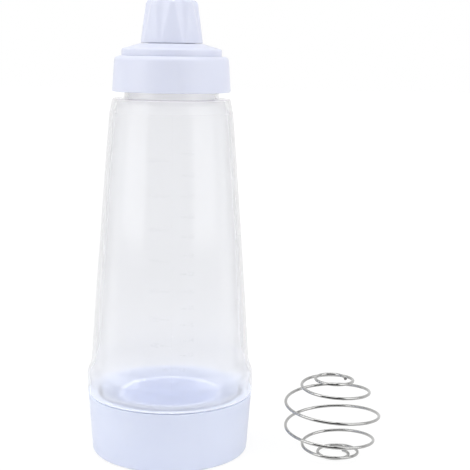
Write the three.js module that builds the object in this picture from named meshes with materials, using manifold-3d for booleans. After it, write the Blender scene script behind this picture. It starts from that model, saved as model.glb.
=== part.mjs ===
// A batter shaker bottle, in millimetres, +Z up. The origin is the centre of the base cup's
// underside, on the surface that the bottle stands on.
//
// A tapered translucent bottle is open at both ends. A base cup screws on its lower mouth, a
// collar clamps a spout dome on its neck, and a fluted cap closes the spout. A ball coiled
// from one steel wire goes inside to beat the batter, and here it stands beside the bottle.
import * as THREE from 'three';
import { mergeVertices } from 'three/addons/utils/BufferGeometryUtils.js';
import Module from 'manifold-3d';

// Fits
const SEAT = 0.3; // gap left where one piece seats on another
const THREAD_ROOM = 0.4; // radial room outside the crest of a thread

// Base cup
const BASE_HEIGHT = 36;
const BASE_RIM_R = 49.4;
const BASE_TAPER = 2.6; // how much narrower the foot is than the rim
const BASE_WALL = 2;
const BASE_FLOOR = 2.5; // thickness of the well's floor and of the web round it
const BASE_FOOT_EDGE = 2; // radius of the outer edge that meets the table
const BASE_RIM_EDGE = 0.8;
const CHANNEL_FLOOR = 14; // height of the ledge that the base seal lies on
const CHANNEL_WIDTH = 8.2; // from the base seal to the well's wall
const WELL_HEIGHT = 35;
const WELL_WALL = 2.6;

// Base seal: a flat ring with a lip that plugs into the bottle's lower mouth
const BASE_SEAL_THICK = 2;
const BASE_SEAL_LIP_THICK = 1.4;
const BASE_SEAL_LIP_HEIGHT = 4;

// Bottle
const BOTTLE_WALL = 2.2;
const SKIRT_THREAD = 1.8; // depth of the thread on the lower mouth
const BEAD_PROUD = 0.4; // how far the bead stands out past the base cup's rim
const BEAD_HEIGHT = 10.2;
const BEAD_EDGE = 1;
const FLARE_HEIGHT = 11.5; // the sweep from the bead up to the wall
const FLARE_STEP = 2.6;
const FLARE_UPRIGHT = 0.4; // share of the sweep's height that leaves the bead straight up
const FLARE_TURN = 0.5; // share of its height, and of its step, where it turns to the wall
const FLARE_TURN_STEP = 0.15;
const WALL_HEIGHT = 146.4;
const WALL_BULGE = 0.3; // how far the wall's middle stands out of a straight cone
const SHOULDER_STEP = 0.4;
const SHOULDER_TAPER = 1.2;
const SHOULDER_HEIGHT = 7.6;
const SHOULDER_EDGE = 1.2;
const NECK_HEIGHT = 17.6;
const NECK_THREAD = 1.8;
const NECK_GROOVE_DEPTH = 1.4; // the groove under the neck's thread
const NECK_GROOVE_HEIGHT = 5.6;
const NECK_RIM_EDGE = 0.6;

// Collar, spout dome and the seal under the dome
const COLLAR_TOP_R = 33.4;
const COLLAR_TAPER = 1.15;
const COLLAR_WALL = 2.2;
const COLLAR_EDGE = 3;
const COLLAR_FOOT_EDGE = 0.6;
const COLLAR_LIP = 2.2; // thickness of the lip that holds the dome's flange down
const NECK_GAP = 4; // bare neck between the shoulder and the collar
const LID_SEAL_THICK = 1.8;
const FLANGE_THICK = 2;
const FLANGE_LAP = 2.1; // how far the flange stands out past the dome
const DOME_EDGE_HEIGHT = 4; // the upright edge that shows above the collar
const DOME_EDGE = 1.2;
const DOME_EDGE_TURN_DEG = 70; // how far the edge rounds over, up to the slope
const DOME_RISE = 3.1; // the sloping top, above the edge
const DOME_WALL = 2;

// Spout, under the cap
const SPOUT_BORE_R = 4.2;
const SPOUT_THREAD = 1.3;
const SPOUT_THREAD_HEIGHT = 7.5;
const NOZZLE_WALL = 1.6; // wall at the nozzle's tip
const NOZZLE_ROOM = 2.6; // room round the nozzle inside the cap

// Fluted cap and the plug inside it
const CAP_HEIGHT = 24.7;
const CAP_R = 18.1;
const CAP_TAPER = 3.4; // how much narrower the top is than the foot
const CAP_EDGE = 2.4;
const CAP_EDGE_TURN_DEG = 80; // how far the edge rounds over, up to the crown
const CAP_CROWN = 0.4; // how far the top rises at its middle
const CAP_WALL = 1.9;
const CAP_TOP_WALL = 2.4;
const CAP_FOOT_EDGE = 0.4;
const FLUTE_COUNT = 8;
const FLUTE_TURN_DEG = -18.5; // where the flute left of the front stands, from the front
const FLUTE_DEPTH = 1.9; // at the cap's top
const FLUTE_TIP_HEIGHT = 7; // the flute's lower tip, above the cap's foot
const FLUTE_TOP_ROUND = 7.6; // radius of the flute's hollow at the cap's top
const FLUTE_TIP_ROUND = 3;
const FLUTE_OVERRUN = 3; // how far the cutter goes on past both ends of the flute
const PLUG_THICK = 2.2;
const PLUG_PIN_LENGTH = 4;

// Whisk ball: one wire wound on a ball that is flatter than it is wide
const WHISK_R = 28.9; // to the middle of the wire
const WHISK_HALF_HEIGHT = 24.6;
const WHISK_END_LATITUDE_DEG = 73.5; // the ball's ends are open rings
const WHISK_TURNS = 6.16;
const WHISK_START_DEG = -8.6;
const WHISK_FOOT_SHIFT = 3.2; // how far the lower turns are wound to one side
const WIRE_R = 0.9;
const WHISK_CLEAR = 19.2; // between the ball and the bottle's bead
const WHISK_BEARING_DEG = -7.6; // where the ball stands, seen from the bottle

// Facets
const TURN_SEGMENTS = 48; // round each turned piece
const CORNER_STEPS = 3; // along a rounded edge
const FLARE_STEPS = 5; // along the bottle's flare
const WALL_STEPS = 3; // up the bottle's wall
const WIRE_SIDES = 8;
const WIRE_STEPS_PER_TURN = 20;
const CUTTER_SEGMENTS = 32;

// Heights, from the table up
const skirtBottom = CHANNEL_FLOOR + SEAT + BASE_SEAL_THICK + SEAT;
const beadBottom = BASE_HEIGHT + SEAT;
const beadTop = beadBottom + BEAD_HEIGHT;
const flareTop = beadTop + FLARE_HEIGHT;
const shoulderLine = flareTop + WALL_HEIGHT;
const shoulderTop = shoulderLine + SHOULDER_HEIGHT;
const neckTop = shoulderTop + NECK_HEIGHT;
const lidSealBottom = neckTop + SEAT;
const flangeBottom = lidSealBottom + LID_SEAL_THICK + SEAT;
const flangeTop = flangeBottom + FLANGE_THICK;
const lipBottom = flangeTop + SEAT;
const collarTop = lipBottom + COLLAR_LIP;
const collarBottom = shoulderTop + NECK_GAP;
const domeEdgeTop = collarTop + DOME_EDGE_HEIGHT;
const domeTop = domeEdgeTop + DOME_RISE;
const capBottom = domeTop + SEAT;
const capTop = capBottom + CAP_HEIGHT;
const capCeiling = capTop - CAP_TOP_WALL;
const plugBottom = capCeiling - SEAT - PLUG_THICK;
const nozzleTip = plugBottom - SEAT;
const capThreadTop = capBottom + SPOUT_THREAD_HEIGHT + SEAT;

// Radii, from the base cup in
const baseFootR = BASE_RIM_R - BASE_TAPER;
const baseOuterR = (z) => THREE.MathUtils.lerp(baseFootR, BASE_RIM_R, z / BASE_HEIGHT);
const baseBoreR = baseOuterR(CHANNEL_FLOOR) - BASE_WALL;
const skirtR = baseBoreR - THREAD_ROOM - SKIRT_THREAD;
const skirtBoreR = skirtR - BOTTLE_WALL;
const baseSealLipR = skirtBoreR - SEAT;
const baseSealBoreR = baseSealLipR - BASE_SEAL_LIP_THICK;
const wellOuterR = baseSealBoreR - CHANNEL_WIDTH;
const wellR = wellOuterR - WELL_WALL;
const beadR = BASE_RIM_R + BEAD_PROUD;
const wallBottomR = beadR - FLARE_STEP;

// Radii, from the collar in
const collarBottomR = COLLAR_TOP_R + COLLAR_TAPER;
const collarBoreR = COLLAR_TOP_R - COLLAR_WALL;
const flangeR = collarBoreR - SEAT;
const domeR = collarBoreR - FLANGE_LAP;
const finishR = collarBoreR - THREAD_ROOM - NECK_THREAD;
const neckR = finishR - NECK_GROOVE_DEPTH;
const neckBoreR = neckR - BOTTLE_WALL;
const shoulderTopR = collarBottomR;
const shoulderLineR = shoulderTopR + SHOULDER_TAPER;
const wallTopR = shoulderLineR + SHOULDER_STEP;

// Radii, from the cap in
const capTopR = CAP_R - CAP_TAPER;
const capOuterR = (z) => THREE.MathUtils.lerp(CAP_R, capTopR, (z - capBottom) / CAP_HEIGHT);
const capBoreR = capOuterR(capThreadTop) - CAP_WALL;
const capCavityR = capTopR - FLUTE_DEPTH - CAP_WALL;
const spoutR = capBoreR - THREAD_ROOM - SPOUT_THREAD;
const nozzleFootR = capCavityR - NOZZLE_ROOM;
const nozzleTipR = SPOUT_BORE_R + NOZZLE_WALL;

const wasm = await Module();
wasm.setup();

const point = (r, z) => new THREE.Vector2(r, z);

// Points of a rounded edge, on a circle round (r, z), from one bearing to another in degrees.
function edge(r, z, radius, fromDeg, toDeg) {
  const points = [];
  for (let i = 0; i <= CORNER_STEPS; i += 1) {
    const turn = THREE.MathUtils.degToRad(fromDeg + ((toDeg - fromDeg) * i) / CORNER_STEPS);
    points.push(point(r + radius * Math.cos(turn), z + radius * Math.sin(turn)));
  }
  return points;
}

// A turned solid. The outline runs anticlockwise seen with the radius to the right and the
// height up, and it starts and ends on the axis or closes on its first point.
function turned(outline) {
  const geometry = new THREE.LatheGeometry(outline, TURN_SEGMENTS);
  geometry.rotateX(Math.PI / 2);
  return geometry;
}

const ring = (outline) => turned([...outline, outline[0].clone()]);

function solidOf(geometry) {
  const bare = geometry.clone();
  bare.deleteAttribute('normal');
  bare.deleteAttribute('uv');
  const welded = mergeVertices(bare, 1e-4);
  const corners = welded.index.array;
  const triangles = [];
  for (let i = 0; i < corners.length; i += 3) {
    const [a, b, c] = corners.slice(i, i + 3);
    if (a !== b && b !== c && c !== a) {
      triangles.push(a, b, c);
    }
  }
  const vertProperties = new Float32Array(welded.attributes.position.array);
  const triVerts = new Uint32Array(triangles);
  return new wasm.Manifold(new wasm.Mesh({ numProp: 3, vertProperties, triVerts }));
}

function geometryOf(solid) {
  const mesh = solid.getMesh();
  const geometry = new THREE.BufferGeometry();
  geometry.setAttribute('position', new THREE.BufferAttribute(mesh.vertProperties, 3));
  geometry.setIndex(new THREE.BufferAttribute(mesh.triVerts, 1));
  geometry.computeVertexNormals();
  return geometry;
}

// Base cup: a tapered outer wall, a web for the seal, and a round well that reaches the table.
function baseCap() {
  const webBottom = CHANNEL_FLOOR - BASE_FLOOR;
  const footBoreR = baseFootR - BASE_WALL;
  const rimRound = WELL_WALL / 2;
  return turned([
    point(0, 0),
    point(wellOuterR, 0),
    point(wellOuterR, webBottom),
    point(footBoreR, webBottom),
    point(footBoreR, 0),
    ...edge(baseOuterR(BASE_FOOT_EDGE) - BASE_FOOT_EDGE, BASE_FOOT_EDGE, BASE_FOOT_EDGE, -90, 0),
    ...edge(BASE_RIM_R - BASE_RIM_EDGE, BASE_HEIGHT - BASE_RIM_EDGE, BASE_RIM_EDGE, 0, 90),
    ...edge(baseBoreR + BASE_RIM_EDGE, BASE_HEIGHT - BASE_RIM_EDGE, BASE_RIM_EDGE, 90, 180),
    point(baseBoreR, CHANNEL_FLOOR),
    point(wellOuterR, CHANNEL_FLOOR),
    ...edge(wellOuterR - rimRound, WELL_HEIGHT - rimRound, rimRound, 0, 90),
    ...edge(wellR + rimRound, WELL_HEIGHT - rimRound, rimRound, 90, 180).slice(1),
    point(wellR, BASE_FLOOR),
    point(0, BASE_FLOOR),
  ]);
}

function baseSeal() {
  const bottom = CHANNEL_FLOOR + SEAT;
  const step = bottom + BASE_SEAL_THICK;
  const lipTop = step + BASE_SEAL_LIP_HEIGHT;
  return ring([
    point(baseSealBoreR, bottom),
    point(skirtR, bottom),
    point(skirtR, step),
    point(baseSealLipR, step),
    point(baseSealLipR, lipTop),
    point(baseSealBoreR, lipTop),
  ]);
}

// The bottle's flare, from the bead up to the wall, drawn in by an inset.
function flare(inset) {
  const curve = new THREE.CubicBezierCurve(
    point(beadR - inset, beadTop),
    point(beadR - inset, beadTop + FLARE_HEIGHT * FLARE_UPRIGHT),
    point(wallBottomR + FLARE_STEP * FLARE_TURN_STEP - inset, beadTop + FLARE_HEIGHT * FLARE_TURN),
    point(wallBottomR - inset, flareTop),
  );
  return curve.getPoints(FLARE_STEPS);
}

// The bottle's wall above its flare, slightly swollen, drawn in by an inset.
function wall(inset) {
  const middleR = (wallBottomR + wallTopR) / 2 + 2 * WALL_BULGE;
  const curve = new THREE.QuadraticBezierCurve(
    point(wallBottomR - inset, flareTop),
    point(middleR - inset, (flareTop + shoulderLine) / 2),
    point(wallTopR - inset, shoulderLine),
  );
  return curve.getPoints(WALL_STEPS).slice(1);
}

function bottleBody() {
  const ledge = beadBottom + BOTTLE_WALL;
  const shoulderCeiling = shoulderTop - BOTTLE_WALL;
  const grooveTop = shoulderTop + NECK_GROOVE_HEIGHT;
  const shoulderEdgeR = shoulderTopR - SHOULDER_EDGE;
  const outside = [
    point(skirtBoreR, skirtBottom),
    point(skirtR, skirtBottom),
    point(skirtR, beadBottom),
    ...edge(beadR - BEAD_EDGE, beadBottom + BEAD_EDGE, BEAD_EDGE, -90, 0),
    ...flare(0),
    ...wall(0),
    point(shoulderLineR, shoulderLine + SHOULDER_STEP),
    ...edge(shoulderEdgeR, shoulderTop - SHOULDER_EDGE, SHOULDER_EDGE, 0, 90),
    point(neckR, shoulderTop),
    point(neckR, grooveTop),
    point(finishR, grooveTop + NECK_GROOVE_DEPTH),
    ...edge(finishR - NECK_RIM_EDGE, neckTop - NECK_RIM_EDGE, NECK_RIM_EDGE, 0, 90),
  ];
  const inside = [
    ...flare(BOTTLE_WALL),
    ...wall(BOTTLE_WALL),
    point(shoulderEdgeR - BOTTLE_WALL, shoulderCeiling - SHOULDER_EDGE),
    point(shoulderEdgeR - BOTTLE_WALL - SHOULDER_EDGE, shoulderCeiling),
    point(neckBoreR, shoulderCeiling),
    ...edge(neckBoreR + NECK_RIM_EDGE, neckTop - NECK_RIM_EDGE, NECK_RIM_EDGE, 180, 90),
  ];
  return ring([
    ...outside,
    ...inside.reverse(),
    ...edge(beadR - BOTTLE_WALL - BEAD_EDGE, ledge + BEAD_EDGE, BEAD_EDGE, 0, -90),
    point(skirtBoreR, ledge),
  ]);
}

function lidSeal() {
  const top = lidSealBottom + LID_SEAL_THICK;
  return ring([
    point(neckBoreR, lidSealBottom),
    point(finishR, lidSealBottom),
    point(finishR, top),
    point(neckBoreR, top),
  ]);
}

// Spout dome: a flange under the collar's lip, a low dome, a threaded root and the nozzle.
function spoutDome() {
  const seatR = CAP_R + SEAT;
  const innerR = domeR - DOME_WALL;
  const rootTop = domeTop + SPOUT_THREAD_HEIGHT;
  return ring([
    point(innerR, flangeBottom),
    point(flangeR, flangeBottom),
    point(flangeR, flangeTop),
    point(domeR, flangeTop),
    ...edge(domeR - DOME_EDGE, domeEdgeTop - DOME_EDGE, DOME_EDGE, 0, DOME_EDGE_TURN_DEG),
    point(seatR, domeTop),
    point(spoutR, domeTop),
    point(spoutR, rootTop),
    point(nozzleFootR, rootTop + SPOUT_THREAD),
    point(nozzleTipR, nozzleTip),
    point(SPOUT_BORE_R, nozzleTip),
    point(SPOUT_BORE_R, domeTop - DOME_WALL),
    point(seatR, domeTop - DOME_WALL),
    point(innerR, domeEdgeTop - DOME_WALL),
  ]);
}

function lidCollar() {
  const lipR = domeR + SEAT;
  const footR = collarBottomR - COLLAR_FOOT_EDGE;
  return ring([
    point(collarBoreR, collarBottom),
    ...edge(footR, collarBottom + COLLAR_FOOT_EDGE, COLLAR_FOOT_EDGE, -90, 0),
    ...edge(COLLAR_TOP_R - COLLAR_EDGE, collarTop - COLLAR_EDGE, COLLAR_EDGE, 0, 90),
    point(lipR, collarTop),
    point(lipR, lipBottom),
    point(collarBoreR, lipBottom),
  ]);
}

function capPlug() {
  const pinR = SPOUT_BORE_R - SEAT;
  return turned([
    point(0, plugBottom - PLUG_PIN_LENGTH),
    point(pinR, plugBottom - PLUG_PIN_LENGTH),
    point(pinR, plugBottom),
    point(capCavityR - SEAT, plugBottom),
    point(capCavityR - SEAT, capCeiling - SEAT),
    point(0, capCeiling - SEAT),
  ]);
}

// One flute's cutter: a leaning cone whose inner side runs from the flute's bottom at the cap's
// top down to its tip on the cap's side. It goes on past both ends.
function fluteCutter() {
  const tip = capBottom + FLUTE_TIP_HEIGHT;
  const length = capTop - tip;
  const beyond = (low, high) => high + ((high - low) * FLUTE_OVERRUN) / length;
  const tipCentre = capOuterR(tip) + FLUTE_TIP_ROUND;
  const topCentre = capTopR - FLUTE_DEPTH + FLUTE_TOP_ROUND;
  const cutter = new THREE.CylinderGeometry(
    beyond(FLUTE_TIP_ROUND, FLUTE_TOP_ROUND),
    beyond(FLUTE_TOP_ROUND, FLUTE_TIP_ROUND),
    length + 2 * FLUTE_OVERRUN,
    CUTTER_SEGMENTS,
  );
  cutter.rotateX(Math.PI / 2);
  const lean = (topCentre - tipCentre) / length;
  cutter.applyMatrix4(new THREE.Matrix4().set(1, 0, 0, 0, 0, 1, -lean, 0, 0, 0, 1, 0, 0, 0, 0, 1));
  cutter.translate(0, -(topCentre + tipCentre) / 2, (tip + capTop) / 2);
  return cutter;
}

function nozzleCap() {
  const edgeZ = capTop - CAP_CROWN - CAP_EDGE;
  let solid = solidOf(turned([
    point(0, capCeiling),
    point(capCavityR, capCeiling),
    point(capCavityR, capThreadTop + CAP_WALL),
    point(capBoreR, capThreadTop),
    point(capBoreR, capBottom),
    ...edge(CAP_R - CAP_FOOT_EDGE, capBottom + CAP_FOOT_EDGE, CAP_FOOT_EDGE, -90, 0),
    ...edge(capOuterR(edgeZ) - CAP_EDGE, edgeZ, CAP_EDGE, 0, CAP_EDGE_TURN_DEG),
    point(0, capTop),
  ]));
  for (let i = 0; i < FLUTE_COUNT; i += 1) {
    const cutter = fluteCutter();
    const turnDeg = FLUTE_TURN_DEG + (360 * i) / FLUTE_COUNT;
    cutter.rotateZ(THREE.MathUtils.degToRad(turnDeg));
    solid = solid.subtract(solidOf(cutter));
  }
  return geometryOf(solid);
}

// The whisk's wire, wound down the ball from a ring at its top to a ring at its foot.
class WhiskCoil extends THREE.Curve {
  getPoint(t, target = new THREE.Vector3()) {
    const endLatitude = THREE.MathUtils.degToRad(WHISK_END_LATITUDE_DEG);
    const latitude = endLatitude * Math.cos(Math.PI * t);
    const turn = THREE.MathUtils.degToRad(WHISK_START_DEG + 360 * WHISK_TURNS * t);
    const r = WHISK_R * Math.cos(latitude);
    const centre = WHISK_HALF_HEIGHT * Math.sin(endLatitude) + WIRE_R;
    const z = centre + WHISK_HALF_HEIGHT * Math.sin(latitude);
    const shift = WHISK_FOOT_SHIFT * Math.max(0, -Math.sin(latitude));
    return target.set(r * Math.cos(turn) + shift, r * Math.sin(turn), z);
  }
}

function whiskBall() {
  const section = [];
  for (let i = 0; i < WIRE_SIDES; i += 1) {
    const turn = (2 * Math.PI * i) / WIRE_SIDES;
    section.push(point(WIRE_R * Math.cos(turn), WIRE_R * Math.sin(turn)));
  }
  return new THREE.ExtrudeGeometry(new THREE.Shape(section), {
    steps: Math.round(WHISK_TURNS * WIRE_STEPS_PER_TURN),
    extrudePath: new WhiskCoil(),
    bevelEnabled: false,
  });
}

const lavender = { color: 0xdce2f6, roughness: 0.4, metalness: 0 };
const hazy = { color: 0xebecf0, roughness: 0.3, metalness: 0, transparent: true, opacity: 0.4 };
const silicone = { color: 0xf0f0ee, roughness: 0.6, metalness: 0 };
const steel = { color: 0xb4b4b2, roughness: 0.2, metalness: 1 };

function piece(name, geometry, finish) {
  const mesh = new THREE.Mesh(geometry, new THREE.MeshStandardMaterial(finish));
  mesh.name = name;
  return mesh;
}

const whisk = piece('whisk_ball', whiskBall(), steel);
const whiskDistance = beadR + WHISK_CLEAR + WHISK_R;
const whiskBearing = THREE.MathUtils.degToRad(WHISK_BEARING_DEG);
whisk.position.set(whiskDistance * Math.cos(whiskBearing), whiskDistance * Math.sin(whiskBearing), 0);

const shaker = new THREE.Group();
shaker.add(
  piece('base_cap', baseCap(), lavender),
  piece('base_seal', baseSeal(), silicone),
  piece('bottle_body', bottleBody(), hazy),
  piece('lid_seal', lidSeal(), silicone),
  piece('spout_dome', spoutDome(), lavender),
  piece('lid_collar', lidCollar(), lavender),
  piece('cap_plug', capPlug(), silicone),
  piece('nozzle_cap', nozzleCap(), lavender),
  whisk,
);

export default shaker;
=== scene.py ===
import math

import bpy
from mathutils import Euler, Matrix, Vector


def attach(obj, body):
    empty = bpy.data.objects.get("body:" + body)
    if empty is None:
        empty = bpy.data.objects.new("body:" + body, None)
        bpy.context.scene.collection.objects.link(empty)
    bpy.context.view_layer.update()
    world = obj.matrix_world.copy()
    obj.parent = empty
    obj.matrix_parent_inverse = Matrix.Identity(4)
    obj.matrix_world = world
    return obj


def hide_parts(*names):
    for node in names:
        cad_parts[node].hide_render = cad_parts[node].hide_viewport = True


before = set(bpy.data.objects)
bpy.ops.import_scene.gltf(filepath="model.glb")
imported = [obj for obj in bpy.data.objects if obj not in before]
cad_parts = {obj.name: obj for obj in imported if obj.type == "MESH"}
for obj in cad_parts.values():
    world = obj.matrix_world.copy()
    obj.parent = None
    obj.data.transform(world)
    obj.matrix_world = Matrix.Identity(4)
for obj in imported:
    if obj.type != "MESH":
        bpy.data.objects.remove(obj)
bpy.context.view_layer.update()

# Sizes in millimetres, as in the part's source. The meshes are made in metres.
MM = 0.001
FRONT_DEG = -90  # bearing of the camera's side
SEAT = 0.3
THREAD_ROOM = 0.4

BASE_HEIGHT = 36
BASE_RIM_R = 49.4
BASE_TAPER = 2.6
BASE_WALL = 2
BASE_FLOOR = 2.5
BASE_FOOT_EDGE = 2
BASE_RIM_EDGE = 0.8
CHANNEL_FLOOR = 14
CHANNEL_WIDTH = 8.2
WELL_HEIGHT = 35
WELL_WALL = 2.6

BASE_SEAL_THICK = 2
BASE_SEAL_LIP_THICK = 1.4
BASE_SEAL_LIP_HEIGHT = 4

BOTTLE_WALL = 2.2
SKIRT_THREAD = 1.8
BEAD_PROUD = 0.4
BEAD_HEIGHT = 10.2
BEAD_EDGE = 1
FLARE_HEIGHT = 11.5
FLARE_STEP = 2.6
FLARE_UPRIGHT = 0.4
FLARE_TURN = 0.5
FLARE_TURN_STEP = 0.15
WALL_HEIGHT = 146.4
WALL_BULGE = 0.3
SHOULDER_STEP = 0.4
SHOULDER_TAPER = 1.2
SHOULDER_HEIGHT = 7.6
SHOULDER_EDGE = 1.2
NECK_HEIGHT = 17.6
NECK_THREAD = 1.8
NECK_GROOVE_DEPTH = 1.4
NECK_GROOVE_HEIGHT = 5.6
NECK_RIM_EDGE = 0.6

COLLAR_TOP_R = 33.4
COLLAR_TAPER = 1.15
COLLAR_WALL = 2.2
COLLAR_EDGE = 3
COLLAR_FOOT_EDGE = 0.6
COLLAR_LIP = 2.2
NECK_GAP = 4
LID_SEAL_THICK = 1.8
FLANGE_THICK = 2
FLANGE_LAP = 2.1
DOME_EDGE_HEIGHT = 4
DOME_EDGE = 1.2
DOME_RISE = 3.1
DOME_WALL = 2

SPOUT_BORE_R = 4.2
SPOUT_THREAD = 1.3
SPOUT_THREAD_HEIGHT = 7.5
NOZZLE_WALL = 1.6
NOZZLE_ROOM = 2.6

CAP_HEIGHT = 24.7
CAP_R = 18.1
CAP_TAPER = 3.4
CAP_EDGE = 2.4
CAP_CROWN = 0.4
CAP_WALL = 1.9
CAP_TOP_WALL = 2.4
CAP_FOOT_EDGE = 0.4
FLUTE_COUNT = 8
FLUTE_TURN_DEG = -18.5
FLUTE_DEPTH = 1.9
FLUTE_TIP_HEIGHT = 7
FLUTE_TOP_ROUND = 7.6
FLUTE_TIP_ROUND = 3
FLUTE_EDGE = 2
PLUG_THICK = 2.2
PLUG_PIN_LENGTH = 4

WHISK_R = 28.9
WHISK_HALF_HEIGHT = 24.6
WHISK_END_LATITUDE_DEG = 73.5
WHISK_TURNS = 6.16
WHISK_START_DEG = -8.6
WHISK_FOOT_SHIFT = 3.2
WIRE_R = 0.9
WHISK_CLEAR = 19.2
WHISK_BEARING_DEG = -7.6

# Edge roundings, from a hair's breadth to a full fillet
HAIR_EDGE = 0.2
FINE_EDGE = 0.25
CRISP_EDGE = 0.3
EASED_EDGE = 0.4
BROKEN_EDGE = 0.5
SOFT_EDGE = 0.6
ROUND_EDGE = 0.8
NOSE_EDGE = 1.0
FULL_EDGE = 1.2
WELL_FILLET = 2.5
FULL_ROUND_SLACK = 0.01

# Heights, from the table up
skirt_bottom = CHANNEL_FLOOR + SEAT + BASE_SEAL_THICK + SEAT
bead_bottom = BASE_HEIGHT + SEAT
bead_top = bead_bottom + BEAD_HEIGHT
flare_top = bead_top + FLARE_HEIGHT
shoulder_line = flare_top + WALL_HEIGHT
shoulder_top = shoulder_line + SHOULDER_HEIGHT
groove_top = shoulder_top + NECK_GROOVE_HEIGHT
neck_top = shoulder_top + NECK_HEIGHT
lid_seal_bottom = neck_top + SEAT
flange_bottom = lid_seal_bottom + LID_SEAL_THICK + SEAT
flange_top = flange_bottom + FLANGE_THICK
lip_bottom = flange_top + SEAT
collar_top = lip_bottom + COLLAR_LIP
collar_bottom = shoulder_top + NECK_GAP
dome_edge_top = collar_top + DOME_EDGE_HEIGHT
dome_top = dome_edge_top + DOME_RISE
cap_bottom = dome_top + SEAT
cap_top = cap_bottom + CAP_HEIGHT
cap_ceiling = cap_top - CAP_TOP_WALL
plug_bottom = cap_ceiling - SEAT - PLUG_THICK
nozzle_tip = plug_bottom - SEAT
cap_thread_top = cap_bottom + SPOUT_THREAD_HEIGHT + SEAT
root_top = dome_top + SPOUT_THREAD_HEIGHT


def between(low, high, share):
    return low + (high - low) * share


# Radii, from the base cup in
base_foot_r = BASE_RIM_R - BASE_TAPER
base_bore_r = between(base_foot_r, BASE_RIM_R, CHANNEL_FLOOR / BASE_HEIGHT) - BASE_WALL
foot_bore_r = base_foot_r - BASE_WALL
skirt_r = base_bore_r - THREAD_ROOM - SKIRT_THREAD
skirt_bore_r = skirt_r - BOTTLE_WALL
base_seal_lip_r = skirt_bore_r - SEAT
base_seal_bore_r = base_seal_lip_r - BASE_SEAL_LIP_THICK
well_outer_r = base_seal_bore_r - CHANNEL_WIDTH
well_r = well_outer_r - WELL_WALL
bead_r = BASE_RIM_R + BEAD_PROUD
wall_bottom_r = bead_r - FLARE_STEP

# Radii, from the collar in
collar_bottom_r = COLLAR_TOP_R + COLLAR_TAPER
collar_bore_r = COLLAR_TOP_R - COLLAR_WALL
flange_r = collar_bore_r - SEAT
dome_r = collar_bore_r - FLANGE_LAP
finish_r = collar_bore_r - THREAD_ROOM - NECK_THREAD
neck_r = finish_r - NECK_GROOVE_DEPTH
neck_bore_r = neck_r - BOTTLE_WALL
shoulder_top_r = collar_bottom_r
shoulder_line_r = shoulder_top_r + SHOULDER_TAPER
wall_top_r = shoulder_line_r + SHOULDER_STEP

# Radii, from the cap in
cap_top_r = CAP_R - CAP_TAPER


def cap_outer_r(z):
    return between(CAP_R, cap_top_r, (z - cap_bottom) / CAP_HEIGHT)


cap_bore_r = cap_outer_r(cap_thread_top) - CAP_WALL
cap_cavity_r = cap_top_r - FLUTE_DEPTH - CAP_WALL
spout_r = cap_bore_r - THREAD_ROOM - SPOUT_THREAD
nozzle_foot_r = cap_cavity_r - NOZZLE_ROOM
nozzle_tip_r = SPOUT_BORE_R + NOZZLE_WALL

whisk_distance = bead_r + WHISK_CLEAR + WHISK_R
whisk_x = whisk_distance * math.cos(math.radians(WHISK_BEARING_DEG))
whisk_y = whisk_distance * math.sin(math.radians(WHISK_BEARING_DEG))

# Threads: two starts, the same lead on all three screw joints
THREAD_LEAD = 9
THREAD_STARTS = 2
THREAD_FOOT = 1.0
THREAD_CREST = 0.35
THREAD_RUN_OUT = 1.2
THREAD_WALL_SLACK = 0.02
THREAD_SHY = 0.2  # how far a ridge stays short of the room for it
NUT_PHASE = 0.5  # the inner thread runs midway between the outer one's turns

# How far each thread stays from the lower and the upper end of its wall
BASE_THREAD_ENDS = 5, 2.5
SKIRT_THREAD_ENDS = 2, 2
NECK_THREAD_ENDS = 2.2, 1
COLLAR_THREAD_ENDS = 1.2, 0
SPOUT_THREAD_ENDS = 0.9, 0.9
CAP_THREAD_ENDS = 0.9, 0.6

# Facets
TURN_SEGMENTS = 192
CAP_SEGMENTS = 384
ARC_STEP = math.radians(11)
SHARP_ANGLE = math.radians(40)
THREAD_ROW = 0.25
NUT_THREAD_ROW = 0.4
FLUTE_ROW = 0.35
ROW_INSET = 0.5
ON_AXIS = 1e-6
FLARE_STEPS = 18
WALL_STEPS = 30
WIRE_STEPS = 700
WIRE_SIDES = 20


# Shapes turned on the bottle's axis


def rounded(corners, closed):
    """Points of an outline whose corners, each (radius, height, rounding), are rounded off."""
    points = []
    last = len(corners) - 1
    for i, (r, z, rounding) in enumerate(corners):
        corner = Vector((r, z))
        if rounding == 0 or (not closed and i in (0, last)):
            points.append((r, z))
            continue
        back = (Vector(corners[i - 1][:2]) - corner).normalized()
        ahead = (Vector(corners[(i + 1) % len(corners)][:2]) - corner).normalized()
        half = back.angle(ahead) / 2
        centre = corner + (back + ahead).normalized() * (rounding / math.sin(half))
        first = corner + back * (rounding / math.tan(half)) - centre
        final = corner + ahead * (rounding / math.tan(half)) - centre
        start = math.atan2(first.y, first.x)
        sweep = math.remainder(math.atan2(final.y, final.x) - start, math.tau)
        steps = max(2, math.ceil(abs(sweep) / ARC_STEP))
        for k in range(steps + 1):
            turn = start + sweep * k / steps
            points.append((centre.x + rounding * math.cos(turn), centre.y + rounding * math.sin(turn)))
    return points


def divided(points, closed, step, low, high):
    """The outline with its long stretches between two heights cut into short steps."""
    out = []
    count = len(points)
    for i, (r, z) in enumerate(points):
        out.append((r, z))
        if not closed and i == count - 1:
            break
        r2, z2 = points[(i + 1) % count]
        length = math.hypot(r2 - r, z2 - z)
        within = min(z, z2) < high - ROW_INSET and max(z, z2) > low + ROW_INSET
        if within and length > step:
            parts = math.ceil(length / step)
            for k in range(1, parts):
                out.append((between(r, r2, k / parts), between(z, z2, k / parts)))
    return out


def mesh_of(name, points, faces):
    mesh = bpy.data.meshes.new(name)
    mesh.from_pydata([tuple(c * MM for c in p) for p in points], [], faces)
    mesh.validate()
    mesh.update()
    return mesh


def placed(name, data):
    made = bpy.data.objects.new(name, data)
    bpy.context.scene.collection.objects.link(made)
    return made


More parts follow.
